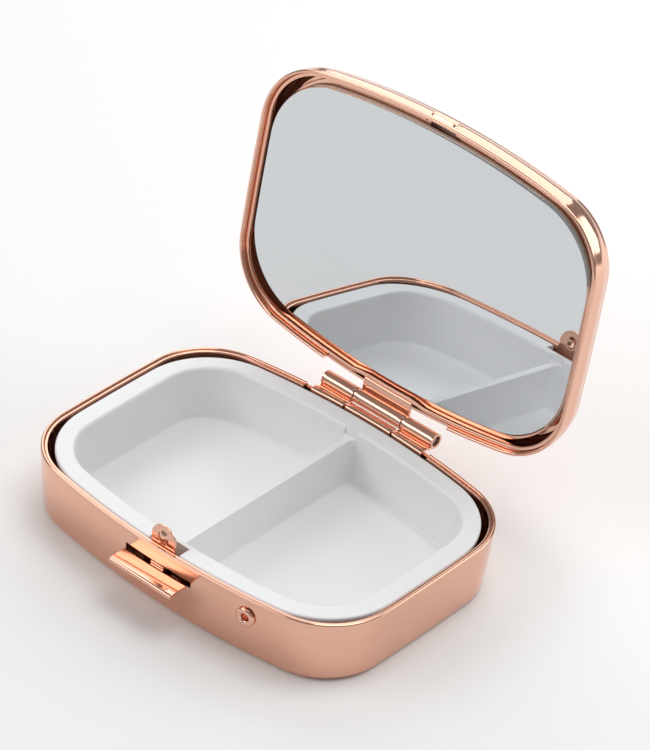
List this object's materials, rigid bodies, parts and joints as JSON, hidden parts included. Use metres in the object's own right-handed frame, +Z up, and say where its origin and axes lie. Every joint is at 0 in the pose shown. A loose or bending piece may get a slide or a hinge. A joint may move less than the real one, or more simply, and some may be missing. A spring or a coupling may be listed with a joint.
{
  "type": "pill box",
  "caption": "Small metal pill box with a mirror in its hinged lid, a two-pocket plastic tray and a spring latch with a thumb-piece.",
  "frame": {"origin": "centre of the underside of the base, on the surface the box stands on", "axes": "+X along the hinge, to the right as seen from the latch; +Y from the latch to the hinge; +Z up"},
  "size_m": [0.07, 0.0697, 0.0653],
  "materials": {
    "rose_gold": "polished rose-gold plate",
    "pin_steel": "drawn wire",
    "white_plastic": "satin moulded",
    "mirror": "silvered glass",
    "pad": "foam pad"
  },
  "bodies": {
    "base": {"base_shell": "rose_gold", "base_inner_band": "rose_gold", "pill_tray": "white_plastic", "base_hinge_leaf": "rose_gold", "hinge_pin": "pin_steel", "latch_spring": "rose_gold", "latch_rivet": "rose_gold"},
    "lid": {"lid_shell": "rose_gold", "lid_inner_band": "rose_gold", "mirror_glass": "mirror", "mirror_seat": "rose_gold", "mirror_backing": "pad", "lid_hinge_leaf": "rose_gold"},
    "latch": {"latch_tongue": "rose_gold", "thumb_piece": "rose_gold"}
  },
  "joints": [
    {"name": "lid_hinge", "type": "hinge", "parent": "base", "child": "lid", "pos_m": [0, 0.0279, 0.0122], "axis": [1, 0, 0], "range_deg": [0, 97.4]},
    {"name": "latch_press", "type": "slide", "parent": "base", "child": "latch", "axis": [0, 1, 0], "range_m": [0, 0.0007], "stiffness_N_per_m": 3000, "springref_m": -0.0004, "deforming": ["latch_spring"]}
  ]
}
